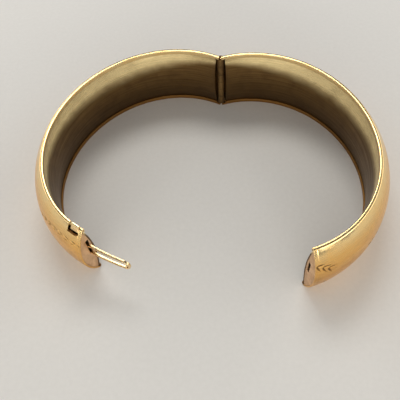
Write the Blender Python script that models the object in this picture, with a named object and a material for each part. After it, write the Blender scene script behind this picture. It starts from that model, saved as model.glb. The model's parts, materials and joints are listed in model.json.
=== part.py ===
"""Hinged hollow bangle bracelet with a spring tongue clasp, lying open on its rim.

Each half is a hollow band: a domed outer shell whose edges are turned over an inner
liner, closed by a cap at each end.  A six-knuckle barrel hinge joins the halves at the
back.  The left half carries a folded V-spring tongue.  Its upper leaf has a catch and a
thumb piece, and snaps behind the slotted cap of the right half.

Everything is drawn closed, in the band's own measures, and then opened:
  turn  the place along the oval, 0 at the hinge and pi at the clasp
  out   the distance outside the rim line, the oval that the rims' inner edges follow
  z     the height above the surface that the bangle lies on
The halves share the hinge's axis, so both are drawn about it and turned apart.
The origin is the middle of the opened bangle's footprint, on that surface.
"""
import math

import bmesh
import bpy
from mathutils import Vector

MM = 0.001

# The oval and the band's section
RIM_HALF_WIDTH = 27.7 * MM
RIM_HALF_LENGTH = 30.8 * MM
BAND_WIDTH = 19.0 * MM
DOME_RISE = 4.15 * MM
LINER_BULGE = 0.65 * MM
SHELL_SHEET = 0.4 * MM
LINER_SHEET = 0.3 * MM
FOLD_SHEET = 0.3 * MM
FOLD_HEIGHT = 1.2 * MM
SOLDER_GAP = 0.05 * MM
SEAM_GAP = 0.05 * MM

# The opening
OPEN_ANGLE = math.radians(47.5)
STOP_ANGLE = math.radians(51.0)

# The hinge
PIVOT_OUT = 1.0 * MM
BARREL_RADIUS = 1.0 * MM
PIN_RADIUS = 0.45 * MM
PIN_CLEARANCE = 0.04 * MM
KNUCKLES_PER_HALF = 3
KNUCKLE_GAP = 0.06 * MM
TROUGH_CLEARANCE = 0.08 * MM
RIM_ARCH = 0.75 * MM
HINGE_CAP_DEPTH = 2.4 * MM

# The clasp
CAP_SHEET = 0.3 * MM
CAP_INSET = 0.1 * MM
TONGUE_OUT = 0.8 * MM
TONGUE_RAISE = 1.0 * MM
TONGUE_REACH = 11.0 * MM
LEAF_WIDTH = 0.7 * MM
LEAF_SHEET = 0.5 * MM
FOLD_RADIUS = 1.75 * MM
SLOT_HEIGHT = 4.1 * MM
SLOT_CLEARANCE = 0.1 * MM
CATCH_HEIGHT = 0.3 * MM
CATCH_RAMP = 0.05 * MM
APERTURE_EXTRA = 2.0 * MM
LEAF_TAIL = 3.9 * MM
ANCHOR_LENGTH = 2.4 * MM
ANCHOR_HEIGHT = 1.3 * MM

# The thumb piece and its notch in the top rim
NOTCH_FRONT = 0.85 * MM
NOTCH_LENGTH = 3.2 * MM
NOTCH_DEPTH = 1.7 * MM
THUMB_FRONT_GAP = 0.2 * MM
THUMB_REAR_GAP = 0.45 * MM
THUMB_PROUD = 0.35 * MM
THUMB_HEAD = 1.0 * MM
THUMB_WALL = 0.4 * MM
THUMB_RECESS = 0.15 * MM
THUMB_DROP = 0.65 * MM

# How finely round shapes are divided
OVAL_STEPS = 30
DOME_STEPS = 12
LINER_STEPS = 8
ROUND_STEPS = 24
LEAF_STEPS = 6
FOLD_STEPS = 12
FACE_STEPS = 4

# Worked-out sizes
RIM_LAND = FOLD_SHEET + SHELL_SHEET
MID_HEIGHT = BAND_WIDTH / 2
PIVOT_Y = RIM_HALF_LENGTH + PIVOT_OUT
TROUGH_RADIUS = BARREL_RADIUS + TROUGH_CLEARANCE
LINER_SEAT = FOLD_SHEET + SOLDER_GAP
TONGUE_RADIUS = PIVOT_Y + RIM_HALF_LENGTH + TONGUE_OUT
CAP_BACK = CAP_INSET + CAP_SHEET
SLOT_LOW = MID_HEIGHT + TONGUE_RAISE - SLOT_HEIGHT / 2
SLOT_HIGH = SLOT_LOW + SLOT_HEIGHT
TONGUE_LOW = SLOT_LOW + SLOT_CLEARANCE
NECK_TOP = SLOT_HIGH - SLOT_CLEARANCE
FOLD_REACH = TONGUE_REACH - FOLD_RADIUS
FOLD_AXIS_Z = TONGUE_LOW + FOLD_RADIUS

GOLD = ("satin_gold", (0.83, 0.60, 0.27), 0.32)
LINER_GOLD = ("worn_liner_gold", (0.52, 0.37, 0.18), 0.45)
CAP_GOLD = ("cap_gold", (0.70, 0.48, 0.26), 0.42)
SPRING_GOLD = ("spring_gold", (0.88, 0.70, 0.38), 0.25)
HINGE_GOLD = ("hinge_gold", (0.60, 0.42, 0.20), 0.38)


def arc_through(edge_out, middle_out, half_height):
    """Radius and centre of the arc from edge_out at the edges to middle_out between."""
    rise = middle_out - edge_out
    radius = (rise ** 2 + half_height ** 2) / (2 * abs(rise))
    centre = middle_out - math.copysign(radius, rise)
    return radius, centre


DOME_RADIUS, DOME_CENTRE = arc_through(RIM_LAND, DOME_RISE, MID_HEIGHT)
LINER_RADIUS, LINER_CENTRE = arc_through(LINER_SEAT, -LINER_BULGE, MID_HEIGHT - FOLD_HEIGHT)


def dome_out(z, depth=0.0):
    """How far outside the rim line the dome is at a height, some depth under its skin."""
    radius = DOME_RADIUS - depth
    return DOME_CENTRE + math.sqrt(radius ** 2 - (z - MID_HEIGHT) ** 2)


def dome_height(out, depth=0.0):
    """The lower height at which the dome, some depth under its skin, is that far out."""
    radius = DOME_RADIUS - depth
    return MID_HEIGHT - math.sqrt(radius ** 2 - (out - DOME_CENTRE) ** 2)


def liner_out(z, depth=0.0):
    """How far out the liner is at a height, some depth behind its inner face."""
    radius = LINER_RADIUS - depth
    return LINER_CENTRE - math.sqrt(radius ** 2 - (z - MID_HEIGHT) ** 2)


def spread(low, high, steps):
    """Evenly spaced values from low to high, both included."""
    return [low + (high - low) * i / steps for i in range(steps + 1)]


def oval_point(turn, out, z):
    """A point of the closed left half, measured from the hinge's axis."""
    x = -RIM_HALF_WIDTH * math.sin(turn)
    y = RIM_HALF_LENGTH * math.cos(turn)
    normal = Vector((x / RIM_HALF_WIDTH ** 2, y / RIM_HALF_LENGTH ** 2)).normalized()
    return Vector((x + out * normal.x, y + out * normal.y - PIVOT_Y, z))


def tongue_point(reach, out, z):
    """A point of the tongue, which curves about the hinge so that it swings true."""
    radius = TONGUE_RADIUS + out
    angle = reach / TONGUE_RADIUS
    return Vector((radius * math.sin(angle), -radius * math.cos(angle), z))


def hinge_turn(distance):
    """The turn at which the rim line is a distance to the side of the hinge."""
    return math.asin(distance / RIM_HALF_WIDTH)


def clasp_turn(distance):
    """The turn at which the rim line is a distance short of the clasp."""
    return math.pi - hinge_turn(distance)


def band_turns():
    """The stations of a whole half; every piece of the band bends at these same ones."""
    ends = [0.0, hinge_turn(HINGE_CAP_DEPTH), clasp_turn(CAP_BACK), clasp_turn(CAP_INSET)]
    return ends[:1] + spread(ends[1], ends[2], OVAL_STEPS) + ends[3:] + [clasp_turn(SEAM_GAP)]


def shell_section():
    """The domed sheet with both edges turned over: outer skin, then inner skin."""
    skin = [(dome_out(z), z) for z in spread(0.0, BAND_WIDTH, DOME_STEPS)]
    corner = dome_height(FOLD_SHEET, SHELL_SHEET)
    top_fold = [
        (0.0, BAND_WIDTH),
        (0.0, BAND_WIDTH - FOLD_HEIGHT),
        (FOLD_SHEET, BAND_WIDTH - FOLD_HEIGHT),
    ]
    lining = [(dome_out(z, SHELL_SHEET), z) for z in spread(BAND_WIDTH - corner, corner, DOME_STEPS)]
    low_fold = [(out, BAND_WIDTH - z) for out, z in reversed(top_fold)]
    return skin + top_fold + lining + low_fold


def liner_section():
    """The inner sheet, bulging towards the wrist, with its edges behind the folds."""
    back = LINER_SEAT + LINER_SHEET
    edge = dome_height(back, SHELL_SHEET + SOLDER_GAP) + SOLDER_GAP
    heights = spread(FOLD_HEIGHT, BAND_WIDTH - FOLD_HEIGHT, LINER_STEPS)
    face = [(liner_out(z), z) for z in heights]
    rear = [(liner_out(z, LINER_SHEET), z) for z in reversed(heights)]
    top = [(LINER_SEAT, BAND_WIDTH - edge), (back, BAND_WIDTH - edge)]
    bottom = [(back, edge), (LINER_SEAT, edge)]
    return (face + top + rear + bottom)[::-1]


def cap_section():
    """The space between the shell and the liner, less the solder gap all round."""
    margin = FOLD_HEIGHT + SOLDER_GAP
    heights = spread(margin, BAND_WIDTH - margin, DOME_STEPS)
    outer = [(dome_out(z, SHELL_SHEET + SOLDER_GAP), z) for z in heights]
    inner = [(liner_out(z, LINER_SHEET + SOLDER_GAP), z) for z in reversed(heights)]
    return outer + inner


def thumb_section():
    """A plate that stands on the upper leaf; its head fills the notch but for the drop."""
    wall_in = LINER_SEAT + LINER_SHEET - SOLDER_GAP
    wall_out = wall_in + THUMB_WALL
    top = BAND_WIDTH + THUMB_PROUD
    foot = NECK_TOP + SOLDER_GAP
    face_low = BAND_WIDTH - NOTCH_DEPTH + THUMB_DROP
    heights = spread(face_low, BAND_WIDTH - THUMB_RECESS, FACE_STEPS)
    face = [(dome_out(z, THUMB_RECESS), z) for z in heights]
    head = [
        (RIM_LAND - THUMB_RECESS, top),
        (SOLDER_GAP, top),
        (SOLDER_GAP, top - THUMB_HEAD),
        (wall_in, top - THUMB_HEAD),
        (wall_in, foot),
    ]
    return [(wall_out, foot), (wall_out, face_low)] + face + head


def make_material(finish):
    name, colour, roughness = finish
    material = bpy.data.materials.get(name)
    if material is None:
        material = bpy.data.materials.new(name)
        material.use_nodes = True
        shader = material.node_tree.nodes["Principled BSDF"]
        shader.inputs["Base Color"].default_value = (*colour, 1.0)
        shader.inputs["Metallic"].default_value = 1.0
        shader.inputs["Roughness"].default_value = roughness
    return material


def add_object(name, mesh_builder, parent, finish=None):
    """Turn a bmesh into an object under its parent; with no finish it is a cutter."""
    bmesh.ops.recalc_face_normals(mesh_builder, faces=mesh_builder.faces)
    mesh = bpy.data.meshes.new(name)
    mesh_builder.to_mesh(mesh)
    mesh_builder.free()
    item = bpy.data.objects.new(name, mesh)
    bpy.context.scene.collection.objects.link(item)
    item.parent = parent
    if finish is None:
        item.hide_render = True
        item.display_type = "WIRE"
    else:
        mesh.materials.append(make_material(finish))
        mesh.shade_smooth()
        mesh.set_sharp_from_angle(angle=math.radians(35))
    return item


def skin_rings(rings):
    """A closed mesh over rings of points, each ring joined to the next and both capped."""
    builder = bmesh.new()
    loops = [[builder.verts.new(point) for point in ring] for ring in rings]
    count = len(loops[0])
    for first, second in zip(loops, loops[1:]):
        for i in range(count):
            j = (i + 1) % count
            builder.faces.new((first[i], first[j], second[j], second[i]))
    builder.faces.new(loops[0])
    builder.faces.new(loops[-1][::-1])
    return builder


def sweep_section(section, turns, side):
    """Sweep a section round the oval; side is -1 for the left half and 1 for the right."""
    rings = []
    for turn in turns:
        points = [oval_point(turn, out, z) for out, z in section]
        rings.append([Vector((-side * p.x, p.y, p.z)) for p in points])
    return skin_rings(rings)


def mitre_hinge_end(builder, side):
    """Bevel the end at the hinge outside the pivot, so that the halves can open."""
    builder.faces.ensure_lookup_table()
    end = [f for f in builder.faces if all(abs(v.co.x) < SEAM_GAP and v.co.y > -PIVOT_Y for v in f.verts)]
    geometry = end + list({e for f in end for e in f.edges}) + list({v for f in end for v in f.verts})
    bmesh.ops.bisect_plane(builder, geom=geometry, plane_co=(0, 0, 0), plane_no=(0, 1, 0))
    slope = math.tan(STOP_ANGLE / 2)
    for vertex in builder.verts:
        if abs(vertex.co.x) < SEAM_GAP and vertex.co.y > -PIVOT_Y:
            vertex.co.x = side * (SEAM_GAP + max(0.0, vertex.co.y) * slope)
    bmesh.ops.triangulate(builder, faces=builder.faces)


def extrude_outline(outline, low, high):
    """A prism over an outline of (x, y) points."""
    return skin_rings([[Vector((x, y, z)) for x, y in outline] for z in (low, high)])


def add_cut(target, cutter):
    cut = target.modifiers.new("cut_" + cutter.name, "BOOLEAN")
    cut.operation = "DIFFERENCE"
    cut.solver = "EXACT"
    cut.object = cutter


def add_trough_cutter(name, parent):
    """A U channel round the barrel that opens towards the wrist, between the rim arches."""
    round_side = []
    for i in range(ROUND_STEPS // 2 + 1):
        angle = math.pi * i / (ROUND_STEPS // 2)
        round_side.append((TROUGH_RADIUS * math.cos(angle), TROUGH_RADIUS * math.sin(angle)))
    depth = -2 * (PIVOT_OUT + LINER_BULGE)
    outline = round_side + [(-TROUGH_RADIUS, depth), (TROUGH_RADIUS, depth)]
    return add_object(name, extrude_outline(outline, RIM_ARCH, BAND_WIDTH - RIM_ARCH), parent)


def add_clasp_cutter(name, parent, low, high):
    """A window through a clasp cap, where the tongue passes."""
    reach = 2 * CAP_BACK
    half = LEAF_WIDTH / 2 + SLOT_CLEARANCE
    rings = []
    for along in (-reach, reach):
        corners = [(-half, low), (half, low), (half, high), (-half, high)]
        rings.append([tongue_point(along, out, z) for out, z in corners])
    return add_object(name, skin_rings(rings), parent)


def add_notch_cutter(parent):
    """The notch in the left half's top rim that the thumb piece fills."""
    front = -NOTCH_FRONT
    back = front - NOTCH_LENGTH
    inner = -PIVOT_Y - RIM_HALF_LENGTH + 2 * DOME_RISE
    outer = -PIVOT_Y - RIM_HALF_LENGTH - 2 * DOME_RISE
    outline = [(back, outer), (front, outer), (front, inner), (back, inner)]
    low = BAND_WIDTH - NOTCH_DEPTH
    return add_object("notch_cutter", extrude_outline(outline, low, BAND_WIDTH + NOTCH_DEPTH), parent)


def add_band(prefix, parent, side, window):
    """The shell, the liner and both caps of one half, cut for the hinge and the tongue."""
    turns = band_turns()
    trough = add_trough_cutter(prefix + "_trough_cutter", parent)
    pieces = {}
    for name, section, finish in (
        ("outer_shell", shell_section(), GOLD),
        ("inner_liner", liner_section(), LINER_GOLD),
    ):
        builder = sweep_section(section, turns, side)
        mitre_hinge_end(builder, side)
        pieces[name] = add_object(prefix + "_" + name, builder, parent, finish)
    builder = sweep_section(cap_section(), turns[:2], side)
    mitre_hinge_end(builder, side)
    pieces["hinge_cap"] = add_object(prefix + "_hinge_cap", builder, parent, HINGE_GOLD)
    for piece in pieces.values():
        add_cut(piece, trough)
    cap_turns = [clasp_turn(CAP_BACK), clasp_turn(CAP_INSET)]
    builder = sweep_section(cap_section(), cap_turns, side)
    clasp_cap = add_object(prefix + "_clasp_cap", builder, parent, CAP_GOLD)
    add_cut(clasp_cap, window)
    pieces["clasp_cap"] = clasp_cap
    return pieces


def ring_of_points(radius, z):
    """Points round the hinge's axis at one height."""
    angles = [2 * math.pi * i / ROUND_STEPS for i in range(ROUND_STEPS)]
    return [Vector((radius * math.cos(a), radius * math.sin(a), z)) for a in angles]


def tube(outer, inner, low, high):
    """A tube about the hinge's axis: out along one end, down the outside, back up inside."""
    builder = bmesh.new()
    profile = [(inner, low), (outer, low), (outer, high), (inner, high)]
    loops = [[builder.verts.new(p) for p in ring_of_points(r, z)] for r, z in profile]
    for first, second in zip(loops, loops[1:] + loops[:1]):
        for i in range(ROUND_STEPS):
            j = (i + 1) % ROUND_STEPS
            builder.faces.new((first[i], first[j], second[j], second[i]))
    return builder


def add_hinge(left_frame, right_frame):
    """Knuckles that alternate between the halves, left at the top, on one pin."""
    low = RIM_ARCH + KNUCKLE_GAP
    high = BAND_WIDTH - RIM_ARCH - KNUCKLE_GAP
    count = 2 * KNUCKLES_PER_HALF
    pitch = (high - low) / count
    for i in range(count):
        top = high - i * pitch
        half = "left" if i % 2 == 0 else "right"
        frame = left_frame if half == "left" else right_frame
        builder = tube(BARREL_RADIUS, PIN_RADIUS + PIN_CLEARANCE, top - pitch + KNUCKLE_GAP, top)
        add_object(f"{half}_knuckle_{i // 2 + 1}", builder, frame, HINGE_GOLD)
    pin = skin_rings([ring_of_points(PIN_RADIUS, low), ring_of_points(PIN_RADIUS, high)])
    add_object("hinge_pin", pin, left_frame, SPRING_GOLD)


def leaf_strip(stations, origin):
    """A strip of the tongue's width; a station is (reach, z) of one skin, then the other."""
    half = LEAF_WIDTH / 2
    rings = []
    for reach, z, other_reach, other_z in stations:
        ring = [tongue_point(reach, out, z) - origin for out in (-half, half)]
        ring += [tongue_point(other_reach, out, other_z) - origin for out in (half, -half)]
        rings.append(ring)
    return skin_rings(rings)


def lower_leaf_stations():
    """The fixed leaf: straight from its anchor, then up round the fold at the tip."""
    tail = -CAP_BACK - ANCHOR_LENGTH
    top = TONGUE_LOW + LEAF_SHEET
    stations = [(s, TONGUE_LOW, s, top) for s in spread(tail, FOLD_REACH, LEAF_STEPS)]
    inner = FOLD_RADIUS - LEAF_SHEET
    for angle in spread(0.0, math.pi, FOLD_STEPS)[1:]:
        ahead = math.sin(angle)
        rise = -math.cos(angle)
        outer_skin = (FOLD_REACH + FOLD_RADIUS * ahead, FOLD_AXIS_Z + FOLD_RADIUS * rise)
        inner_skin = (FOLD_REACH + inner * ahead, FOLD_AXIS_Z + inner * rise)
        stations.append(outer_skin + inner_skin)
    return stations


def upper_leaf_stations():
    """The springy leaf: tail, neck, catch shoulder, then a slope down to the fold."""
    shoulder = CAP_BACK + SEAM_GAP + SLOT_CLEARANCE
    crest = SLOT_HIGH + CATCH_HEIGHT
    tops = [(s, NECK_TOP) for s in spread(-LEAF_TAIL, shoulder, 2)]
    slope = spread(shoulder + CATCH_RAMP, FOLD_REACH - SOLDER_GAP, LEAF_STEPS)
    for s in slope:
        share = (s - slope[0]) / (FOLD_REACH - slope[0])
        tops.append((s, crest + (FOLD_AXIS_Z + FOLD_RADIUS - crest) * share))
    return [(s, top, s, top - LEAF_SHEET) for s, top in tops]


def add_clasp(left_frame, catch_frame, fold_axis):
    """The V-spring tongue, its anchor behind the cap, and the thumb piece."""
    here = Vector((0, 0, 0))
    add_object("tongue_lower_leaf", leaf_strip(lower_leaf_stations(), here), left_frame, SPRING_GOLD)
    back = -CAP_BACK - SOLDER_GAP
    top = TONGUE_LOW - SOLDER_GAP
    block = [(s, top - ANCHOR_HEIGHT, s, top) for s in (back - ANCHOR_LENGTH, back)]
    add_object("tongue_anchor", leaf_strip(block, here), left_frame, HINGE_GOLD)
    add_object("tongue_upper_leaf", leaf_strip(upper_leaf_stations(), fold_axis), catch_frame, SPRING_GOLD)
    front = NOTCH_FRONT + THUMB_FRONT_GAP
    rear = NOTCH_FRONT + NOTCH_LENGTH - THUMB_REAR_GAP
    turns = [clasp_turn(rear), clasp_turn((front + rear) / 2), clasp_turn(front)]
    thumb = sweep_section(thumb_section(), turns, -1)
    bmesh.ops.translate(thumb, verts=thumb.verts, vec=-fold_axis)
    add_object("thumb_piece", thumb, catch_frame, GOLD)


def add_frame(name, parent=None):
    frame = bpy.data.objects.new(name, None)
    bpy.context.scene.collection.objects.link(frame)
    frame.parent = parent
    return frame


def centre_footprint(frames):
    """Move the opened halves so that the middle of their footprint is the origin."""
    bpy.context.view_layer.update()
    depsgraph = bpy.context.evaluated_depsgraph_get()
    points = []
    for item in bpy.context.scene.objects:
        if item.type == "MESH" and not item.hide_render:
            solid = item.evaluated_get(depsgraph)
            points += [solid.matrix_world @ vertex.co for vertex in solid.data.vertices]
    middle_x = (min(p.x for p in points) + max(p.x for p in points)) / 2
    middle_y = (min(p.y for p in points) + max(p.y for p in points)) / 2
    for frame in frames:
        frame.location = (-middle_x, -middle_y, 0.0)


def build():
    for item in list(bpy.data.objects):
        bpy.data.objects.remove(item, do_unlink=True)
    left_frame = add_frame("left_half_on_hinge_axis")
    right_frame = add_frame("right_half_on_hinge_axis")
    left_frame.rotation_euler.z = -OPEN_ANGLE / 2
    right_frame.rotation_euler.z = OPEN_ANGLE / 2
    fold_axis = tongue_point(FOLD_REACH, 0.0, FOLD_AXIS_Z)
    catch_frame = add_frame("catch_on_fold_axis", left_frame)
    catch_frame.location = fold_axis

    aperture = add_clasp_cutter("aperture_cutter", left_frame, SLOT_LOW, NECK_TOP + APERTURE_EXTRA)
    slot = add_clasp_cutter("slot_cutter", right_frame, SLOT_LOW, SLOT_HIGH)
    left = add_band("left", left_frame, -1, aperture)
    add_band("right", right_frame, 1, slot)
    notch = add_notch_cutter(left_frame)
    add_cut(left["outer_shell"], notch)
    add_cut(left["inner_liner"], notch)
    add_hinge(left_frame, right_frame)
    add_clasp(left_frame, catch_frame, fold_axis)
    centre_footprint([left_frame, right_frame])


build()
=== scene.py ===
"""Looks of the hinged bangle bracelet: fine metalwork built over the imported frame.

The band is described in its own measures, as on the closed bangle:
  turn   the place along the oval, 0 at the hinge and pi at the clasp
  back   the distance along the rim line from the clasp end
  out    the distance outside the rim line, which the rims' inner edges follow
  z      the height above the floor
Points are drawn about the hinge's axis on the closed left half, mirrored for the right
half, turned to the open pose and moved to the hinge.
"""

import json
import math

import bmesh
import bpy
import numpy as np
from mathutils import Matrix, Vector


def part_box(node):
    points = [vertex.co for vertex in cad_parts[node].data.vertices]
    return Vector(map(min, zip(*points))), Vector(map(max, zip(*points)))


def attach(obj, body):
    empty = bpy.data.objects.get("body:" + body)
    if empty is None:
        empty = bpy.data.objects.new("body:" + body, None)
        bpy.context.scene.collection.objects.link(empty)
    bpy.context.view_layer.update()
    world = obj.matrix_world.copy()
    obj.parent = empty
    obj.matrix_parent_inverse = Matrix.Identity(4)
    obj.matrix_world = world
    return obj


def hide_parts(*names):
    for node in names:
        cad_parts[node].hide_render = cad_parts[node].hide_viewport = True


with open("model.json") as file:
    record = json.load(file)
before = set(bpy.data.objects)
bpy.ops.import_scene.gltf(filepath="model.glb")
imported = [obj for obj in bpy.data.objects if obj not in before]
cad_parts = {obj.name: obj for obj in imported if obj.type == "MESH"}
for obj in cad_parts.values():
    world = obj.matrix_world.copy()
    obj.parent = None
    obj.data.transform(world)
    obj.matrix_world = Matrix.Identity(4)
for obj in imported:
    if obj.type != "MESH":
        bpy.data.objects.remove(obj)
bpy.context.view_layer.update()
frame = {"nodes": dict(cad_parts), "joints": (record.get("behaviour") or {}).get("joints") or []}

MM = 0.001
LEFT = -1
RIGHT = 1

# Sheet thicknesses, folds and clearances, as the part is made
SHELL_SHEET = 0.4 * MM
LINER_SHEET = 0.3 * MM
FOLD_SHEET = 0.3 * MM
FOLD_HEIGHT = 1.2 * MM
LINER_BULGE = 0.65 * MM
GAP = 0.05 * MM
CAP_INSET = 0.1 * MM
CAP_SHEET = 0.3 * MM
PIVOT_OUT = 1.0 * MM
RIM_ARCH = 0.75 * MM
TROUGH_CLEARANCE = 0.08 * MM
PIN_CLEARANCE = 0.04 * MM
STOP_SLOPE = math.tan(math.radians(25.5))

# The thumb piece's plate and head, and the notch that it fills. Its end stays clear of the
# notch when it is pressed.
NOTCH_FRONT = 0.85 * MM
NOTCH_LENGTH = 3.2 * MM
NOTCH_DEPTH = 1.7 * MM
THUMB_HEAD = 1.0 * MM
THUMB_WALL = 0.3 * MM
THUMB_RECESS = 0.15 * MM
THUMB_DROP = 0.69 * MM
THUMB_SHORTER = 0.3 * MM

# The tongue
LEAF_SHEET = 0.5 * MM
TONGUE_OUT = 0.8 * MM
CATCH_RAMP = 0.05 * MM
SLOT_CLEARANCE = 0.1 * MM
APERTURE_EXTRA = 2.0 * MM

# Roundings of the edges
RIM_ROUND = 0.22 * MM
EDGE_ROUND = 0.09 * MM
SHEET_ROUND = 0.05 * MM
LEAF_ROUND = 0.13 * MM
WINDOW_ROUND = 0.12 * MM
THUMB_ROUND = 0.14 * MM
SHARP_ANGLE = math.radians(38)

# Spacing of points across the engraved skin, across plain sheets, and along thin strips
FINE_PITCH = 0.12 * MM
SHEET_PITCH = 0.3 * MM
STRIP_PITCH = 0.4 * MM

# Sizes that come from the frame
HINGE = next(j for j in frame["joints"] if j["name"] == "bangle_hinge")
CATCH = next(j for j in frame["joints"] if j["name"] == "catch_press")
PIVOT = np.array(HINGE["pos_m"])
HALF_OPEN = math.radians(-HINGE["range_deg"][0]) / 2


def place(points, side):
    """Points about the hinge on the closed left half, put where they belong in the room."""
    angle = side * HALF_OPEN
    x = -side * points[..., 0]
    y = points[..., 1]
    turned_x = x * math.cos(angle) - y * math.sin(angle)
    turned_y = x * math.sin(angle) + y * math.cos(angle)
    return np.stack([turned_x, turned_y, points[..., 2]], -1) + PIVOT


def unplace(points, side):
    """The reverse of place."""
    angle = -side * HALF_OPEN
    offset = points - PIVOT
    x = offset[..., 0] * math.cos(angle) - offset[..., 1] * math.sin(angle)
    y = offset[..., 0] * math.sin(angle) + offset[..., 1] * math.cos(angle)
    return np.stack([-side * x, y, offset[..., 2]], -1)


def node_points(node, side):
    """A CAD node's points about the hinge on the closed left half."""
    return unplace(np.array([v.co for v in frame["nodes"][node].data.vertices]), side)


shell_points = node_points("left_outer_shell", LEFT)
WIDTH = shell_points[:, 2].max()
DOME_RISE = shell_points[:, 1].max() + PIVOT_OUT
RIM_HALF_WIDTH = -shell_points[:, 0].min() - DOME_RISE
RIM_HALF_LENGTH = (-shell_points[:, 1].min() - PIVOT_OUT - DOME_RISE) / 2
MID = WIDTH / 2
PIVOT_Y = RIM_HALF_LENGTH + PIVOT_OUT
RIM_LAND = FOLD_SHEET + SHELL_SHEET
LINER_SEAT = FOLD_SHEET + GAP
BARREL_RADIUS = node_points("left_knuckle_1", LEFT)[:, 0].max()
TROUGH_RADIUS = BARREL_RADIUS + TROUGH_CLEARANCE
PIN_RADIUS = node_points("hinge_pin", LEFT)[:, 0].max()

# The tongue, from its lower leaf, and the slots that it passes
TONGUE_RADIUS = PIVOT_Y + RIM_HALF_LENGTH + TONGUE_OUT
leaf_points = node_points("tongue_lower_leaf", LEFT)
TONGUE_LOW = leaf_points[:, 2].min()
FOLD_AXIS_Z = CATCH["pos_m"][2]
FOLD_RADIUS = FOLD_AXIS_Z - TONGUE_LOW
LEAF_WIDTH = np.hypot(leaf_points[:, 0], leaf_points[:, 1]).max() * 2 - 2 * TONGUE_RADIUS
fold_axis = unplace(np.array(CATCH["pos_m"]), LEFT)
FOLD_REACH = TONGUE_RADIUS * math.atan2(fold_axis[0], -fold_axis[1])
upper_points = node_points("tongue_upper_leaf", LEFT)
CREST = upper_points[:, 2].max()
NECK_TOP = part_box("thumb_piece")[0].z - GAP
SLOT_LOW = TONGUE_LOW - SLOT_CLEARANCE
SLOT_HIGH = NECK_TOP + SLOT_CLEARANCE
CAP_BACK = CAP_INSET + CAP_SHEET
THUMB_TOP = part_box("thumb_piece")[1].z


def reach_of(points):
    """How far along the tongue's arc points lie, beyond the clasp plane."""
    return TONGUE_RADIUS * np.arctan2(points[:, 0], -points[:, 1])


LEAF_TAIL = reach_of(upper_points).min()
LOWER_TAIL = reach_of(leaf_points).min()


def arc_through(edge_out, middle_out, half_height):
    """Radius and centre of the arc from edge_out at the edges to middle_out between."""
    rise = middle_out - edge_out
    radius = (rise ** 2 + half_height ** 2) / (2 * abs(rise))
    return radius, middle_out - math.copysign(radius, rise)


DOME_RADIUS, DOME_CENTRE = arc_through(RIM_LAND, DOME_RISE, MID)
LINER_RADIUS, LINER_CENTRE = arc_through(LINER_SEAT, -LINER_BULGE, MID - FOLD_HEIGHT)


def dome_out(z, depth=0.0):
    """How far out the dome is at a height, or a surface at a depth under it."""
    return DOME_CENTRE + np.sqrt((DOME_RADIUS - depth) ** 2 - (z - MID) ** 2)


def dome_height(out, depth=0.0):
    """The lower height at which the dome, or a surface under it, is this far out."""
    return MID - math.sqrt((DOME_RADIUS - depth) ** 2 - (out - DOME_CENTRE) ** 2)


def liner_out(z, depth=0.0):
    """How far out the liner's face is at a height, or a surface at a depth behind it."""
    return LINER_CENTRE - np.sqrt((LINER_RADIUS - depth) ** 2 - (z - MID) ** 2)


# ---- The oval, and distances along it --------------------------------------------------

turn_table = np.linspace(0.0, math.pi, 4001)
speed = np.hypot(RIM_HALF_WIDTH * np.cos(turn_table), RIM_HALF_LENGTH * np.sin(turn_table))
run_table = np.concatenate([[0.0], np.cumsum((speed[1:] + speed[:-1]) / 2 * np.diff(turn_table))])
RIM_RUN = run_table[-1]


def turn_at(back):
    """The turn at a distance along the rim line from the clasp end."""
    return np.interp(RIM_RUN - back, run_table, turn_table)


def back_at(turn):
    """The distance along the rim line from the clasp end at a turn."""
    return RIM_RUN - np.interp(turn, turn_table, run_table)


def band_points(turns, outs, heights):
    """Points about the hinge on the closed left half, from their measures on the band."""
    x = -RIM_HALF_WIDTH * np.sin(turns)
    y = RIM_HALF_LENGTH * np.cos(turns)
    normal_x = x / RIM_HALF_WIDTH ** 2
    normal_y = y / RIM_HALF_LENGTH ** 2
    length = np.hypot(normal_x, normal_y)
    across = x + outs * normal_x / length
    along = y + outs * normal_y / length - PIVOT_Y
    return np.stack(np.broadcast_arrays(across, along, heights), -1)


def band_measures(points, side):
    """(back, out, z) of points in the room."""
    local = unplace(points, side)
    x = -local[:, 0]
    y = local[:, 1] + PIVOT_Y
    out = np.zeros(len(points))
    for _ in range(4):
        turn = np.arctan2(x / (RIM_HALF_WIDTH + out), y / (RIM_HALF_LENGTH + out))
        rim_x = RIM_HALF_WIDTH * np.sin(turn)
        rim_y = RIM_HALF_LENGTH * np.cos(turn)
        beyond = (x - rim_x) * rim_x / RIM_HALF_WIDTH ** 2 + (y - rim_y) * rim_y / RIM_HALF_LENGTH ** 2
        out = np.sign(beyond) * np.hypot(x - rim_x, y - rim_y)
    return np.stack([back_at(np.clip(turn, 0.0, math.pi)), out, local[:, 2]], -1)


# ---- Outlines --------------------------------------------------------------------------


def rounded(corners, steps=4):
    """An outline from (a, b, radius) corners, each rounded by its radius."""
    outline = []
    count = len(corners)
    for i, (a, b, radius) in enumerate(corners):
        here = np.array([a, b])
        if radius == 0.0:
            outline.append(here)
            continue
        before = np.array(corners[i - 1][:2]) - here
        after = np.array(corners[(i + 1) % count][:2]) - here
        cut = [min(radius, np.linalg.norm(side) * 0.45) for side in (before, after)]
        start = here + before / np.linalg.norm(before) * cut[0]
        end = here + after / np.linalg.norm(after) * cut[1]
        for t in np.linspace(0.0, 1.0, steps + 1):
            outline.append((1 - t) ** 2 * start + 2 * t * (1 - t) * here + t ** 2 * end)
    return np.array(outline)


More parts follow.
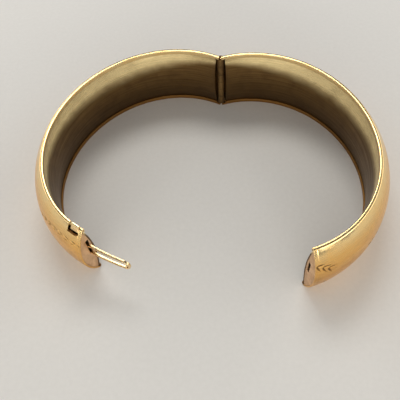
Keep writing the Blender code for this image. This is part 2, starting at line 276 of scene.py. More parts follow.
def inset(outline, amount):
    """The outline moved inwards by an amount, measured across its edges."""
    before = outline - np.roll(outline, 1, 0)
    after = np.roll(outline, -1, 0) - outline
    before /= np.linalg.norm(before, axis=1)[:, None] + 1e-12
    after /= np.linalg.norm(after, axis=1)[:, None] + 1e-12
    along = before + after
    along /= np.linalg.norm(along, axis=1)[:, None] + 1e-12
    area = np.sum(outline[:, 0] * np.roll(outline[:, 1], -1) - outline[:, 1] * np.roll(outline[:, 0], -1))
    inward = np.stack([-along[:, 1], along[:, 0]], 1) * math.copysign(1.0, area)
    widen = 1.0 / np.clip(np.sum(along * after, axis=1), 0.6, 1.0)
    return outline + inward * (amount * widen)[:, None]


def spaced(low, high, pitch):
    """Evenly spaced values from low to high, about a pitch apart."""
    return np.linspace(low, high, max(2, int(round(abs(high - low) / pitch)) + 1))


def shell_section():
    """The domed skin from its lower to its upper edge, then the folds and the inner skin.

    The number of points on the skin, which can be engraved, comes with the outline.
    """
    heights = spaced(RIM_ROUND * 1.3, WIDTH - RIM_ROUND * 1.3, FINE_PITCH)
    skin = [(dome_out(z), z, 0.0) for z in heights]
    corner = dome_height(FOLD_SHEET, SHELL_SHEET)
    top = [
        (RIM_LAND, WIDTH, RIM_ROUND),
        (0.0, WIDTH, RIM_ROUND),
        (0.0, WIDTH - FOLD_HEIGHT, EDGE_ROUND),
        (FOLD_SHEET, WIDTH - FOLD_HEIGHT, 0.0),
    ]
    lining = [(dome_out(z, SHELL_SHEET), z, 0.0) for z in spaced(WIDTH - corner, corner, 0.7 * MM)]
    low = [(out, WIDTH - z, radius) for out, z, radius in reversed(top)]
    return rounded(skin + top + lining + low), len(skin)


def liner_section():
    """The sheet against the wrist, tucked under the folds."""
    rear = LINER_SEAT + LINER_SHEET
    edge = dome_height(rear, SHELL_SHEET + GAP) + GAP
    face = [(liner_out(z), z, 0.0) for z in spaced(WIDTH - FOLD_HEIGHT, FOLD_HEIGHT, SHEET_PITCH)]
    bottom = [(LINER_SEAT, edge, 0.0), (rear, edge, 0.0)]
    back = [(liner_out(z, LINER_SHEET), z, 0.0) for z in spaced(FOLD_HEIGHT, WIDTH - FOLD_HEIGHT, 0.8 * MM)]
    top = [(rear, WIDTH - edge, 0.0), (LINER_SEAT, WIDTH - edge, 0.0)]
    return rounded(face + bottom + back + top)


def cap_section():
    """The end plate, between the shell's inner skin and the back of the liner."""
    margin = FOLD_HEIGHT + GAP
    heights = spaced(margin, WIDTH - margin, 0.35 * MM)
    outer = [(dome_out(z, SHELL_SHEET + GAP), z, 0.0) for z in heights]
    inner = [(liner_out(z, LINER_SHEET + GAP), z, 0.0) for z in heights[::-1]]
    return rounded(outer + inner)


def thumb_section():
    """A plate that stands on the upper leaf; its head fills the notch but for the drop."""
    wall_in = LINER_SEAT + LINER_SHEET + GAP
    wall_out = wall_in + THUMB_WALL
    foot = NECK_TOP + GAP
    face_low = WIDTH - NOTCH_DEPTH + THUMB_DROP
    heights = spaced(face_low + FINE_PITCH, WIDTH - THUMB_RECESS, FINE_PITCH)
    face = [(dome_out(z, THUMB_RECESS), z, 0.0) for z in heights]
    foot_corners = [(wall_out, foot, EDGE_ROUND), (wall_out, face_low, 0.5 * EDGE_ROUND)]
    face_corner = [(dome_out(face_low, THUMB_RECESS), face_low, EDGE_ROUND)]
    head = [
        (RIM_LAND - THUMB_RECESS, THUMB_TOP, 1.6 * EDGE_ROUND),
        (GAP, THUMB_TOP, 1.6 * EDGE_ROUND),
        (GAP, THUMB_TOP - THUMB_HEAD, EDGE_ROUND),
        (wall_in, THUMB_TOP - THUMB_HEAD, 0.5 * EDGE_ROUND),
        (wall_in, foot, EDGE_ROUND),
    ]
    return rounded(foot_corners + face_corner + face + head)


# ---- Meshes ----------------------------------------------------------------------------


def mesh_from_rings(name, rings):
    """A closed mesh over an array of rings of points, joined in order and capped."""
    count, around = rings.shape[:2]
    index = np.arange(count * around).reshape(count, around)
    a = index[:-1]
    b = np.roll(a, -1, 1)
    d = index[1:]
    c = np.roll(d, -1, 1)
    quads = np.stack([a, b, c, d], -1).reshape(-1, 4)
    faces = [list(map(int, quad)) for quad in quads]
    faces.append([int(i) for i in index[0]][::-1])
    faces.append([int(i) for i in index[-1]])
    mesh = bpy.data.meshes.new(name)
    mesh.from_pydata([tuple(p) for p in rings.reshape(-1, 3)], [], faces)
    builder = bmesh.new()
    builder.from_mesh(mesh)
    bmesh.ops.recalc_face_normals(builder, faces=builder.faces)
    builder.to_mesh(mesh)
    builder.free()
    return mesh


def new_object(name, mesh):
    """A mesh as an object in the scene."""
    item = bpy.data.objects.new(name, mesh)
    bpy.context.scene.collection.objects.link(item)
    return item


def eased_end(radius, steps=3):
    """(distance past an end, inset) pairs that round the end's edge, outermost first."""
    angles = np.linspace(0.0, math.pi / 2, steps + 1)
    return [(radius * (1 - math.cos(a)), radius * (1 - math.sin(a))) for a in angles]


def sweep_band(name, outline, backs, side, shape=None):
    """An outline of (out, z) swept along the band, with its clasp end eased."""
    stations = [(backs[0] + past, cut) for past, cut in eased_end(SHEET_ROUND)]
    stations += [(back, 0.0) for back in backs if back > backs[0] + 1.3 * SHEET_ROUND]
    rings = []
    for back, cut in stations:
        section = inset(outline, cut) if cut else outline
        if shape is not None:
            section = shape(section, back)
        turn = turn_at(back)
        rings.append(place(band_points(turn, section[:, 0], section[:, 1]), side))
    return new_object(name, mesh_from_rings(name, np.array(rings)))


def prism(outline, low, high, side):
    """A cutter over an outline of (x, y) about the hinge, on the closed left half."""
    rings = [[(x, y, z) for x, y in outline] for z in (low, high)]
    return new_object("cutter", mesh_from_rings("cutter", place(np.array(rings), side)))


def cut_away(item, cutters):
    """Take the cutters out of a piece and leave the result as its mesh."""
    for cutter in cutters:
        cut = item.modifiers.new("cut", "BOOLEAN")
        cut.operation = "DIFFERENCE"
        cut.solver = "EXACT"
        cut.object = cutter
    graph = bpy.context.evaluated_depsgraph_get()
    mesh = bpy.data.meshes.new_from_object(item.evaluated_get(graph))
    item.modifiers.clear()
    item.data = mesh
    for cutter in cutters:
        bpy.data.objects.remove(cutter)


def hinge_cutters(side):
    """The barrel's trough, and the bevel that lets the halves open."""
    angles = np.linspace(0.0, math.pi, 25)
    channel = [(TROUGH_RADIUS * math.cos(a), TROUGH_RADIUS * math.sin(a)) for a in angles]
    depth = -3 * PIVOT_OUT
    channel += [(-TROUGH_RADIUS, depth), (TROUGH_RADIUS, depth)]
    trough = prism(channel, RIM_ARCH, WIDTH - RIM_ARCH, side)
    far = 3 * DOME_RISE
    wedge = [(-GAP, -far), (far, -far), (far, far), (-GAP - far * STOP_SLOPE, far), (-GAP, 0.0)]
    return [trough, prism(wedge, -WIDTH, 2 * WIDTH, side)]


def notch_cutter():
    """The notch in the left half's top rim, cut well past both faces of the band."""
    clasp = -PIVOT_Y - RIM_HALF_LENGTH
    back = -NOTCH_FRONT - NOTCH_LENGTH
    outer = clasp - 2 * DOME_RISE
    inner = clasp + 2 * DOME_RISE
    outline = [(back, outer), (-NOTCH_FRONT, outer), (-NOTCH_FRONT, inner), (back, inner)]
    return prism(outline, WIDTH - NOTCH_DEPTH, WIDTH + NOTCH_DEPTH, LEFT)


def tongue_points(reach, outs, heights):
    """Points about the hinge, from their places along the tongue's arc and beside it."""
    radius = TONGUE_RADIUS + outs
    angle = reach / TONGUE_RADIUS
    return np.stack(np.broadcast_arrays(radius * np.sin(angle), -radius * np.cos(angle), heights), -1)


def window_cutter(side, low, high):
    """The slot through an end plate."""
    half = LEAF_WIDTH / 2 + SLOT_CLEARANCE
    corners = [(-half, low), (half, low), (half, high), (-half, high)]
    outline = rounded([(out, z, WINDOW_ROUND) for out, z in corners])
    rings = [tongue_points(s, outline[:, 0], outline[:, 1]) for s in (-3 * CAP_BACK, 3 * CAP_BACK)]
    return new_object("cutter", mesh_from_rings("cutter", place(np.array(rings), side)))


def leaf_rings(stations):
    """Rounded slices of the strip; a station is (reach, z) of one skin, then the other."""
    half = LEAF_WIDTH / 2
    corners = [(-half, 0.0), (half, 0.0), (half, LEAF_SHEET), (-half, LEAF_SHEET)]
    outline = rounded([(out, depth, LEAF_ROUND) for out, depth in corners])
    share = outline[:, 1] / LEAF_SHEET
    rings = []
    for reach, z, other_reach, other_z in stations:
        along = reach + (other_reach - reach) * share
        heights = z + (other_z - z) * share
        rings.append(place(tongue_points(along, outline[:, 0], heights), LEFT))
    return np.array(rings)


def turned(name, profile, side):
    """A closed profile of (radius, z) turned about the hinge's axis."""
    angles = np.linspace(0.0, 2 * math.pi, 65)[:-1]
    rings = np.array([[(r * math.cos(a), r * math.sin(a), z) for r, z in profile] for a in angles])
    rings = place(rings, side)
    count, around = rings.shape[:2]
    index = np.arange(count * around).reshape(count, around)
    beside = np.roll(index, -1, 1)
    quads = np.stack([index, beside, np.roll(beside, -1, 0), np.roll(index, -1, 0)], -1)
    quads = quads.reshape(-1, 4).tolist()
    mesh = bpy.data.meshes.new(name)
    mesh.from_pydata([tuple(p) for p in rings.reshape(-1, 3)], [], quads)
    builder = bmesh.new()
    builder.from_mesh(mesh)
    bmesh.ops.remove_doubles(builder, verts=builder.verts, dist=1e-7)
    bmesh.ops.recalc_face_normals(builder, faces=builder.faces)
    builder.to_mesh(mesh)
    builder.free()
    return new_object(name, mesh)


# ---- Engraving -------------------------------------------------------------------------


def stroke(back, z, heading, length, width, bend=0.0, depth=0.2 * MM):
    """One tapered cut of the graver, starting deep at (back, z)."""
    end = (back + length * math.cos(heading), z + length * math.sin(heading))
    return (back, z, end[0], end[1], bend * length, width, depth)


def sprig(back, z, heading, pairs, pitch, length, width):
    """Pairs of leaves that open from a stem."""
    cuts = []
    for i in range(pairs):
        foot = (back + i * pitch * math.cos(heading), z + i * pitch * math.sin(heading))
        for lean in (-1, 1):
            cuts.append(stroke(*foot, heading + lean * math.radians(31), length, width, 0.03 * lean))
    return cuts


def flower(back, z, radius, petals):
    """Two cuts to each petal, and a short one between petals."""
    cuts = []
    for i in range(petals):
        angle = 2 * math.pi * i / petals
        for lean in (-0.2, 0.2):
            start = (back + 0.3 * radius * math.cos(angle), z + 0.3 * radius * math.sin(angle))
            cuts.append(stroke(*start, angle + lean, 0.75 * radius, 0.34 * radius, 0.5 * lean))
    for i in range(petals):
        angle = 2 * math.pi * (i + 0.5) / petals
        start = (back + 0.16 * radius * math.cos(angle), z + 0.16 * radius * math.sin(angle))
        cuts.append(stroke(*start, angle, 0.16 * radius, 0.12 * radius))
    return cuts


def scroll(first, last, swing, wave):
    """A waving stem along the middle of the band with leaves in its bends."""
    cuts = []
    count = int(round((last - first) / (0.5 * MM)))
    for i in range(count):
        back = first + (last - first) * i / count
        phase = 2 * math.pi * (back - first) / wave
        z = MID + swing * math.sin(phase)
        heading = math.atan(swing * math.cos(phase) * 2 * math.pi / wave)
        cuts.append(stroke(back, z, heading, 0.75 * MM, 0.22 * MM, depth=0.1 * MM))
    bends = int((last - first) / (wave / 2))
    for i in range(bends):
        back = first + (i + 0.5) * wave / 2
        way = 1 if i % 2 == 0 else -1
        z = MID + way * swing
        for lean, length in ((0.2, 2.3), (0.75, 2.1), (1.3, 1.8), (1.9, 1.4)):
            cuts.append(stroke(back, z, way * lean, length * MM, 0.5 * MM, 0.16 * way))
            cuts.append(stroke(back, z, -way * (lean + 0.35), 0.7 * length * MM, 0.42 * MM, -0.16 * way))
    return cuts


def mirrored(cuts):
    """The same cuts below the middle of the band."""
    return [(b0, WIDTH - z0, b1, WIDTH - z1, -bend, w, d) for b0, z0, b1, z1, bend, w, d in cuts]


def end_sprig():
    """The sprig that runs back and down from the clasp end."""
    return sprig(0.3 * MM, MID + 5.5 * MM, math.radians(-33), 3, 1.5 * MM, 2.1 * MM, 0.5 * MM)


def border_dashes():
    """A line of leaf-like dashes below the rim, drifting to the middle further back."""
    cuts = [stroke(0.1 * MM, MID + 5.55 * MM, 0.06, 0.8 * MM, 0.36 * MM)]
    for i in range(8):
        back = (1.25 + 1.95 * i) * MM
        past_bend = max(0.0, back / MM - 5.0)
        drift = 0.029 * past_bend ** 2 * MM
        slope = 0.2 - 0.058 * past_bend
        cuts.append(stroke(back, MID + 5.6 * MM - drift, slope, 1.7 * MM, 0.5 * MM))
        cuts.append(stroke(back + 0.5 * MM, MID + 5.15 * MM - drift, slope - 0.5, 0.9 * MM, 0.34 * MM))
    return cuts


def middle_panel(first, last):
    """A flower between two scrolls, with sprigs at both ends."""
    centre = (first + last) / 2
    far_scroll = scroll(centre + 3.4 * MM, last - 4 * MM, 1.5 * MM, 8 * MM)
    cuts = flower(centre, MID, 3.0 * MM, 6) + far_scroll
    for b0, z0, b1, z1, bend, width, depth in far_scroll:
        cuts.append((2 * centre - b0, z0, 2 * centre - b1, z1, -bend, width, depth))
    for start, heading in ((first + 4.2 * MM, math.pi), (last - 4.2 * MM, 0.0)):
        cuts += sprig(start, MID, heading, 3, 1.5 * MM, 2.0 * MM, 0.5 * MM)
    return cuts


def groove_depth(cuts, back, z):
    """How deep the engraving is at arrays of places, and how far into a cut they are."""
    depth = np.zeros(back.shape)
    share = np.zeros(back.shape)
    for b0, z0, b1, z1, bend, width, deepest in cuts:
        margin = width + abs(bend)
        near = (back > min(b0, b1) - margin) & (back < max(b0, b1) + margin)
        near &= (z > min(z0, z1) - margin) & (z < max(z0, z1) + margin)
        if not near.any():
            continue
        length = math.hypot(b1 - b0, z1 - z0)
        way_b = (b1 - b0) / length
        way_z = (z1 - z0) / length
        from_b = back[near] - b0
        from_z = z[near] - z0
        t = np.clip((from_b * way_b + from_z * way_z) / length, 0.0, 1.0)
        sag = 4 * bend * t * (1 - t)
        off_b = from_b - t * length * way_b + sag * way_z
        off_z = from_z - t * length * way_z - sag * way_b
        reach = width / 2 * np.minimum(1.0, 5 * t + 0.25) * np.minimum(1.0, 1.7 * (1 - t) + 0.05)
        inside = np.clip(1.0 - np.hypot(off_b, off_z) / reach, 0.0, 1.0)
        depth[near] = np.maximum(depth[near], deepest * inside * np.sqrt(reach / (width / 2)))
        share[near] = np.maximum(share[near], np.minimum(1.0, 3 * inside))
    return depth, share


PANEL_FIRST = 14.3 * MM
PANEL_LAST = 50.0 * MM
END_LINE_BACK = 0.75 * MM
END_LINE_HALF = 0.16 * MM
END_LINE_DEPTH = 0.07 * MM
ENGRAVING = {
    LEFT: border_dashes() + mirrored(border_dashes()) + middle_panel(PANEL_FIRST + 4 * MM, PANEL_LAST),
    RIGHT: end_sprig() + mirrored(end_sprig()) + middle_panel(PANEL_FIRST, PANEL_LAST),
}


# ---- Finishes --------------------------------------------------------------------------


def add_node(tree, kind, values=(), **settings):
    """A shader node with its inputs set, or linked where the value is another's output."""
    made = tree.nodes.new(kind)
    for name, value in settings.items():
        setattr(made, name, value)
    for key, value in values:
        if isinstance(value, bpy.types.NodeSocket):
            tree.links.new(value, made.inputs[key])
        else:
            made.inputs[key].default_value = value
    return made


# The colour of the painted highlight, and how dark the painted shade is as a share of the tarnish colour.
PAINTED_HIGHLIGHT_GOLD = (1.0, 0.80, 0.42)
PAINTED_SHADE_DEPTH = 0.35


def metal(name, bright, deep, tarnish, roughness, streak=0.5, blotch=0.4, bump=0.12, banded=True):
    """A worn gold: streaked along the band and blotched with tarnish, with painted shade in its corners and
    lower parts and a painted highlight laid over its colour.

    One point attribute sets how far a painted highlight lightens the colour, another how far painted shade
    darkens it.
    """
    material = bpy.data.materials.new(name)
    material.use_nodes = True
    tree = material.node_tree
    shader = tree.nodes["Principled BSDF"]
    shader.inputs["Metallic"].default_value = 1.0
    room = add_node(tree, "ShaderNodeTexCoord").outputs["Object"]
    place_from = room
    if banded:
        place_from = add_node(tree, "ShaderNodeAttribute", attribute_name="band").outputs["Vector"]
    stretch = (60.0, 2600.0, 2600.0) if banded else (900.0, 900.0, 900.0)
    mapped = add_node(tree, "ShaderNodeMapping", [("Vector", place_from), ("Scale", stretch)])
    streaks = add_node(tree, "ShaderNodeTexNoise", [
        ("Vector", mapped.outputs["Vector"]), ("Scale", 1.0), ("Detail", 5.0), ("Roughness", 0.65)])
    blotches = add_node(tree, "ShaderNodeTexNoise", [
        ("Vector", room), ("Scale", 230.0), ("Detail", 4.0), ("Roughness", 0.6), ("Distortion", 0.4)])
    grain = add_node(tree, "ShaderNodeTexNoise", [
        ("Vector", room), ("Scale", 3200.0), ("Detail", 3.0), ("Roughness", 0.6)])

    streak_level = add_node(tree, "ShaderNodeMapRange", [
        ("Value", streaks.outputs["Fac"]), ("From Min", 0.36), ("From Max", 0.66), ("To Max", streak)])
    worn = add_node(tree, "ShaderNodeMix", [
        (0, streak_level.outputs["Result"]), (6, (*bright, 1.0)), (7, (*deep, 1.0))], data_type="RGBA")
    blotch_level = add_node(tree, "ShaderNodeMapRange", [
        ("Value", blotches.outputs["Fac"]), ("From Min", 0.45), ("From Max", 0.72), ("To Max", blotch)])
    aged = add_node(tree, "ShaderNodeMix", [
        (0, blotch_level.outputs["Result"]), (6, worn.outputs[2]), (7, (*tarnish, 1.0))], data_type="RGBA")
    # Painted highlight: a lighter gold where the point attribute says, broken up by the blotches.
    painted_highlight = add_node(tree, "ShaderNodeAttribute", attribute_name="painted_highlight")
    patchy = add_node(tree, "ShaderNodeMath", [
        (0, blotches.outputs["Fac"]), (1, 1.1), (2, -0.55)], operation="MULTIPLY_ADD")
    patchy_highlight = add_node(tree, "ShaderNodeMath", [
        (0, painted_highlight.outputs["Fac"]), (1, patchy.outputs["Value"])], operation="ADD")
    highlight_level = add_node(tree, "ShaderNodeMath", [
        (0, patchy_highlight.outputs["Value"]), (1, painted_highlight.outputs["Fac"])], operation="MULTIPLY", use_clamp=True)
    with_highlight = add_node(tree, "ShaderNodeMix", [
        (0, highlight_level.outputs["Value"]), (6, aged.outputs[2]), (7, (*PAINTED_HIGHLIGHT_GOLD, 1.0))], data_type="RGBA")
    # Painted shade: the colour darkens towards a shade colour where the point attribute says.
    painted_shade = add_node(tree, "ShaderNodeAttribute", attribute_name="painted_shade")
    shade_colour = tuple(PAINTED_SHADE_DEPTH * c for c in tarnish)
    with_shade = add_node(tree, "ShaderNodeMix", [
        (0, painted_shade.outputs["Fac"]), (6, with_highlight.outputs[2]), (7, (*shade_colour, 1.0))], data_type="RGBA")
    tree.links.new(with_shade.outputs[2], shader.inputs["Base Color"])

    rough = add_node(tree, "ShaderNodeMapRange", [
        ("Value", streaks.outputs["Fac"]), ("From Min", 0.3), ("From Max", 0.7),
        ("To Min", roughness[0]), ("To Max", roughness[1])])
    rougher = add_node(tree, "ShaderNodeMath", [
        (0, painted_shade.outputs["Fac"]), (1, 0.3), (2, rough.outputs["Result"])], operation="MULTIPLY_ADD")
    smoother = add_node(tree, "ShaderNodeMath", [
        (0, highlight_level.outputs["Value"]), (1, -0.16), (2, rougher.outputs["Value"])],
        operation="MULTIPLY_ADD", use_clamp=True)
    tree.links.new(smoother.outputs["Value"], shader.inputs["Roughness"])

    height = add_node(tree, "ShaderNodeMath", [
        (0, streaks.outputs["Fac"]), (1, grain.outputs["Fac"])], operation="ADD")
    relief = add_node(tree, "ShaderNodeBump", [
        ("Height", height.outputs["Value"]), ("Strength", bump), ("Distance", 0.05 * MM)])
    tree.links.new(relief.outputs["Normal"], shader.inputs["Normal"])
    return material


def floor_material():
    """A matt pale grey with a faint grain."""
    material = bpy.data.materials.new("pale_floor")
    material.use_nodes = True
    tree = material.node_tree
    shader = tree.nodes["Principled BSDF"]
    shader.inputs["Roughness"].default_value = 0.85
    room = add_node(tree, "ShaderNodeTexCoord").outputs["Object"]
    noise = add_node(tree, "ShaderNodeTexNoise", [("Vector", room), ("Scale", 900.0), ("Detail", 3.0)])
    tone = add_node(tree, "ShaderNodeMix", [
        (0, noise.outputs["Fac"]), (6, (0.70, 0.69, 0.67, 1.0)), (7, (0.76, 0.75, 0.73, 1.0))],
        data_type="RGBA")
    tree.links.new(tone.outputs[2], shader.inputs["Base Color"])
    return material


SATIN = metal("satin_gold_finish", (0.90, 0.52, 0.155), (0.70, 0.37, 0.10), (0.46, 0.21, 0.06), (0.22, 0.40))
# The liner is a darker copy of the gold: painted shade inside the band.
SHADED_LINER = metal(
    "shaded_liner_finish", (0.20, 0.118, 0.044), (0.105, 0.060, 0.023), (0.085, 0.045, 0.018), (0.30, 0.5),
    streak=0.8, blotch=0.5, bump=0.25)
CAP = metal(
    "cap_finish", (0.92, 0.62, 0.36), (0.70, 0.43, 0.23), (0.42, 0.21, 0.11), (0.34, 0.55),
    blotch=0.7, banded=False)
SPRING = metal(
    "spring_finish", (0.96, 0.74, 0.42), (0.78, 0.50, 0.22), (0.42, 0.21, 0.07), (0.14, 0.3),
    streak=0.6, blotch=0.3, banded=False)
# The hinge parts are a darker copy of the gold: painted shade.
SHADED_HINGE_GOLD = metal(
    "shaded_hinge_finish", (0.42, 0.26, 0.10), (0.20, 0.12, 0.05), (0.09, 0.05, 0.025), (0.26, 0.46),
    blotch=0.6, banded=False)


def dress(item, side, body, nodes, material, painted_shade=None, painted_highlight=None):
    """Give a finished mesh its measures, finish, smoothness and body, and hide the CAD nodes that it
    replaces.
    """
    mesh = item.data
    points = np.zeros(len(mesh.vertices) * 3)
    mesh.vertices.foreach_get("co", points)
    measures = band_measures(points.reshape(-1, 3), side)
    band = mesh.attributes.new("band", "FLOAT_VECTOR", "POINT")
    band.data.foreach_set("vector", measures.astype(np.float32).ravel())
    # Point attributes for the painted shade and the painted highlight.
    for name, level in (("painted_shade", painted_shade), ("painted_highlight", painted_highlight)):
        values = np.zeros(len(measures)) if level is None else level(*measures.T)
        mesh.attributes.new(name, "FLOAT", "POINT").data.foreach_set("value", values.astype(np.float32))
    mesh.materials.clear()
    mesh.materials.append(material)
    mesh.shade_smooth()
    mesh.set_sharp_from_angle(angle=SHARP_ANGLE)
    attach(item, body)
    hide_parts(*nodes)


# ---- The pieces ------------------------------------------------------------------------

FINE_BACKS = np.concatenate([
    spaced(GAP, 6 * MM, 0.1 * MM),
    spaced(6.12 * MM, PANEL_LAST, 0.15 * MM),
    spaced(PANEL_LAST + 0.5 * MM, RIM_RUN, 0.6 * MM),
])
COARSE_BACKS = np.concatenate([spaced(GAP, 3 * MM, 0.3 * MM), spaced(3.5 * MM, RIM_RUN, 0.7 * MM)])


def make_shell(prefix, side):
    """The engraved outer sheet, with painted shade in its cuts and over its lower part, and a painted
    highlight on its upper part.
    """
    outline, skin = shell_section()
    cuts = ENGRAVING[side]
    rise = np.stack([outline[:skin, 0] - DOME_CENTRE, outline[:skin, 1] - MID], 1)
    rise /= np.linalg.norm(rise, axis=1)[:, None]

    def engrave(section, back):
        places = np.full(skin, back)
        depth, _ = groove_depth(cuts, places, section[:skin, 1])
        line = np.clip(1 - abs(back - END_LINE_BACK) / END_LINE_HALF, 0.0, 1.0)
        depth = np.maximum(depth, END_LINE_DEPTH * line)
        shaped = section.copy()
        shaped[:skin] -= rise * depth[:, None]
        return shaped

    shell = sweep_band(prefix + "_engraved_shell", outline, FINE_BACKS, side, shape=engrave)
    cutters = hinge_cutters(side)
    if side == LEFT:
        cutters.append(notch_cutter())
    cut_away(shell, cutters)

    # Painted shade in the engraved cuts, over the lower half of the dome, along the lower fold and on the
    # ledge at the bottom of the notch.
    def painted_shade(back, out, z):
        _, share = groove_depth(cuts, back, z)
        on_skin = out > dome_out(np.clip(z, 0.0, WIDTH)) - 0.25 * MM
        low = 0.25 * np.clip(1 - z / MID, 0.0, 1.0)
        shade_level = np.where(on_skin, np.maximum(0.9 * share, low), 0.0)
        shade_level = np.where((z < 1.3 * FOLD_HEIGHT) & (out < RIM_LAND), 0.8, shade_level)
        in_notch = (back > NOTCH_FRONT) & (back < NOTCH_FRONT + NOTCH_LENGTH) & (side == LEFT)
        return np.where(in_notch & (abs(z - WIDTH + NOTCH_DEPTH) < GAP), 1.0, shade_level)

    # Painted highlight over the upper third of the dome, and painted glints along the edges of the cuts.
    def painted_highlight(back, out, z):
        _, share = groove_depth(cuts, back, z)
        cut_edge_glint = (share > 0.0) & (share < 0.25)
        return np.where(cut_edge_glint, 1.0, 0.8 * np.clip((z - 0.66 * WIDTH) / (0.3 * WIDTH), 0.0, 1.0))

    dress(shell, side, prefix + "_half", [prefix + "_outer_shell"], SATIN, painted_shade, painted_highlight)


def make_liner(prefix, side):
    """The inner sheet, a darker copy of the gold for painted shade, darker still towards the bottom, with a
    painted highlight along the top rim.
    """
    liner = sweep_band(prefix + "_brushed_liner", liner_section(), COARSE_BACKS, side)
    cutters = hinge_cutters(side)
    if side == LEFT:
        cutters.append(notch_cutter())
    cut_away(liner, cutters)

    # Painted shade, darker towards the bottom.
    def painted_shade(back, out, z):
        return 0.5 * np.clip(1 - z / (0.42 * WIDTH), 0.0, 1.0)

    # Painted highlight along the top rim, reaching lower part way along the half.
    def painted_highlight(back, out, z):
        share = np.clip(back / RIM_RUN, 0.0, 1.0)
        reach = (0.11 + 0.26 * np.sin(math.pi * share ** 1.6)) * WIDTH
        return np.clip((z - WIDTH + FOLD_HEIGHT + reach) / (0.6 * reach), 0.0, 1.0)

    dress(liner, side, prefix + "_half", [prefix + "_inner_liner"], SHADED_LINER, painted_shade, painted_highlight)


def make_clasp_cap(prefix, side, low, high):
    """An end plate with the slot for the tongue between two heights."""
    backs = spaced(CAP_INSET, CAP_BACK, FINE_PITCH)
    cap = sweep_band(prefix + "_end_plate", cap_section(), backs, side)
    cut_away(cap, [window_cutter(side, low, high)])

    # Painted shade along the plate's edges, where it meets the shell and the liner.
    def painted_shade(back, out, z):
        rim = np.minimum(dome_out(z) - SHELL_SHEET - out, out - liner_out(z) - LINER_SHEET)
        return 0.4 * np.exp(-np.clip(rim, 0.0, None) / (0.2 * MM))

    dress(cap, side, prefix + "_half", [prefix + "_clasp_cap"], CAP, painted_shade)


def make_knuckle(prefix, side, number):
    """One tube of the hinge, in the darker gold that stands for painted shade, with more painted shade at
    both ends.
    """
    node = f"{prefix}_knuckle_{number}"
    low, high = (corner.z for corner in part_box(node))
    bore = PIN_RADIUS + PIN_CLEARANCE
    ease = 0.1 * MM
    profile = rounded([
        (bore, low, ease / 2), (BARREL_RADIUS, low, ease),
        (BARREL_RADIUS, high, ease), (bore, high, ease / 2)])
    knuckle = turned(f"{prefix}_barrel_{number}", profile, side)

    # Painted shade at both ends of the tube.
    def painted_shade(back, out, z):
        return 0.75 * np.exp(-np.minimum(z - low, high - z) / (0.15 * MM))

    dress(knuckle, side, prefix + "_half", [node], SHADED_HINGE_GOLD, painted_shade)


def make_pin():
    low, high = (corner.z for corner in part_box("hinge_pin"))
    ease = 0.12 * MM
    profile = rounded([
        (0.0, low, 0.0), (PIN_RADIUS, low, ease), (PIN_RADIUS, high, ease), (0.0, high, 0.0)])
    pin = turned("riveted_pin", profile, LEFT)
    dress(pin, LEFT, "left_half", ["hinge_pin"], SPRING)


def make_tongue():
    """The lower leaf and its fold, which stay put, and the springy upper leaf."""
    top = TONGUE_LOW + LEAF_SHEET
    stations = [(s, TONGUE_LOW, s, top) for s in spaced(LOWER_TAIL, FOLD_REACH, STRIP_PITCH)]
    inner = FOLD_RADIUS - LEAF_SHEET
    for angle in np.linspace(0.0, math.pi, 33)[1:]:
        ahead = math.sin(angle)
        rise = -math.cos(angle)
        outer_skin = (FOLD_REACH + FOLD_RADIUS * ahead, FOLD_AXIS_Z + FOLD_RADIUS * rise)
        stations.append(outer_skin + (FOLD_REACH + inner * ahead, FOLD_AXIS_Z + inner * rise))
    leaf = new_object("folded_lower_leaf", mesh_from_rings("folded_lower_leaf", leaf_rings(stations)))
    dress(leaf, LEFT, "left_half", ["tongue_lower_leaf"], SPRING)

    shoulder = CAP_BACK + GAP + SLOT_CLEARANCE
    tops = [(s, NECK_TOP) for s in spaced(LEAF_TAIL, shoulder, STRIP_PITCH)]
    for s in spaced(shoulder + CATCH_RAMP, FOLD_REACH - GAP, STRIP_PITCH):
        share = (s - shoulder - CATCH_RAMP) / (FOLD_REACH - shoulder - CATCH_RAMP)
        tops.append((s, CREST + (FOLD_AXIS_Z + FOLD_RADIUS - CREST) * share))
    stations = [(s, high, s, high - LEAF_SHEET) for s, high in tops]
    leaf = new_object("springy_upper_leaf", mesh_from_rings("springy_upper_leaf", leaf_rings(stations)))
    dress(leaf, LEFT, "catch_leaf", ["tongue_upper_leaf"], SPRING)


def make_thumb_piece():
    """The release in the notch, with a painted highlight on its top."""
    corners = np.array([v.co for v in frame["nodes"]["thumb_piece"].data.vertices])
    measures = band_measures(corners, LEFT)
    front = measures[:, 0].min()
    rear = measures[:, 0].max() - THUMB_SHORTER
    outline = thumb_section()
    ends = eased_end(THUMB_ROUND)
    margin = 1.4 * THUMB_ROUND
    stations = [(front + past, cut) for past, cut in ends]
    stations += [(back, 0.0) for back in spaced(front + margin, rear - margin, 0.2 * MM)]
    stations += [(rear - past, cut) for past, cut in ends[::-1]]
    rings = []
    for back, cut in stations:
        section = inset(outline, cut) if cut else outline
        rings.append(place(band_points(turn_at(back), section[:, 0], section[:, 1]), LEFT))
    thumb = new_object("thumb_catch", mesh_from_rings("thumb_catch", np.array(rings)))

    # Painted highlight on the top face.
    def painted_highlight(back, out, z):
        return np.where(z > WIDTH - THUMB_RECESS, 1.0, 0.0)

    dress(thumb, LEFT, "catch_leaf", ["thumb_piece"], SPRING, painted_highlight=painted_highlight)


def finish_kept_nodes():
    """The CAD nodes that keep their own shape get an eased edge and the darker gold that stands for painted
    shade.
    """
    for node in ("left_hinge_cap", "right_hinge_cap", "tongue_anchor"):
        item = frame["nodes"][node]
        item.data.materials.clear()
        item.data.materials.append(SHADED_HINGE_GOLD)
        ease = item.modifiers.new("eased_edges", "BEVEL")
        ease.width = SHEET_ROUND
        ease.segments = 2
        ease.angle_limit = math.radians(50)


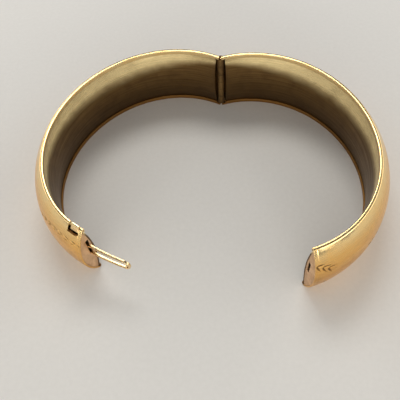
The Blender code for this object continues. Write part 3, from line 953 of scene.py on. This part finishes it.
for prefix, side in (("left", LEFT), ("right", RIGHT)):
    make_shell(prefix, side)
    make_liner(prefix, side)
make_clasp_cap("left", LEFT, SLOT_LOW, NECK_TOP + APERTURE_EXTRA)
make_clasp_cap("right", RIGHT, SLOT_LOW, SLOT_HIGH)
for prefix, side in (("left", LEFT), ("right", RIGHT)):
    for number in (1, 2, 3):
        make_knuckle(prefix, side, number)
make_pin()
make_tongue()
make_thumb_piece()
finish_kept_nodes()


# ---- Floor, light and camera -----------------------------------------------------------


def make_floor():
    """A flat floor, a hair under the bangle so that the two never share a plane."""
    half = 1.5
    corners = [(-half, -half, 0), (half, -half, 0), (half, half, 0), (-half, half, 0)]
    mesh = bpy.data.meshes.new("floor")
    mesh.from_pydata(corners, [], [(0, 1, 2, 3)])
    floor = new_object("floor", mesh)
    floor.location.z = -0.02 * MM
    mesh.materials.append(floor_material())


def add_softbox(name, spot, size, power, colour):
    """A rectangular light at a spot, turned to the middle of the floor."""
    light = bpy.data.lights.new(name, "AREA")
    light.shape = "RECTANGLE"
    light.size, light.size_y = size
    light.energy = power
    light.color = colour
    item = bpy.data.objects.new(name, light)
    item.location = spot
    item.rotation_euler = (-Vector(spot)).to_track_quat("-Z", "Y").to_euler()
    bpy.context.scene.collection.objects.link(item)


def light_studio():
    """A softbox behind and above, and long low ones around that the polished rims mirror."""
    add_softbox("behind_above", (-0.06, 0.26, 0.40), (0.26, 0.16), 0.9, (1.0, 0.98, 0.93))
    add_softbox("low_left", (-0.42, 0.20, 0.18), (0.50, 0.26), 0.8, (1.0, 0.96, 0.90))
    add_softbox("low_right", (0.42, 0.20, 0.20), (0.50, 0.26), 0.8, (1.0, 0.96, 0.90))
    add_softbox("front", (0.0, -0.48, 0.13), (0.60, 0.20), 1.6, (1.0, 0.95, 0.86))
    add_softbox("front_left", (-0.42, -0.22, 0.14), (0.36, 0.16), 0.4, (1.0, 0.95, 0.86))
    add_softbox("front_right", (0.42, -0.18, 0.14), (0.36, 0.16), 0.5, (1.0, 0.95, 0.86))
    world = bpy.data.worlds.new("studio")
    bpy.context.scene.world = world
    world.use_nodes = True
    background = world.node_tree.nodes["Background"]
    background.inputs["Color"].default_value = (0.92, 0.95, 1.0, 1.0)
    background.inputs["Strength"].default_value = 0.18
    bpy.context.scene.view_settings.view_transform = "Standard"


def add_camera():
    """The camera looks down over the open mouth, a little from the left of the middle."""
    azimuth = math.radians(-11.14)
    elevation = math.radians(57.71)
    roll = math.radians(-5.26)
    distance = 141.1 * MM
    target = Vector(PIVOT) + Vector((-2.46 * MM, -35.67 * MM, 0.0))
    level_share = math.cos(elevation)
    ahead = Vector((math.sin(azimuth) * level_share, math.cos(azimuth) * level_share, -math.sin(elevation)))
    level = Vector((math.cos(azimuth), -math.sin(azimuth), 0.0))
    up = level.cross(ahead)
    right = level * math.cos(roll) + up * math.sin(roll)
    above = up * math.cos(roll) - level * math.sin(roll)
    data = bpy.data.cameras.new("camera")
    data.sensor_width = 36.0
    data.lens = 46.58
    data.clip_start = 1 * MM
    camera = bpy.data.objects.new("camera", data)
    turn = Matrix((right, above, -ahead)).transposed()
    camera.matrix_world = Matrix.Translation(target - ahead * distance) @ turn.to_4x4()
    bpy.context.scene.collection.objects.link(camera)
    bpy.context.scene.camera = camera


make_floor()
light_studio()
add_camera()
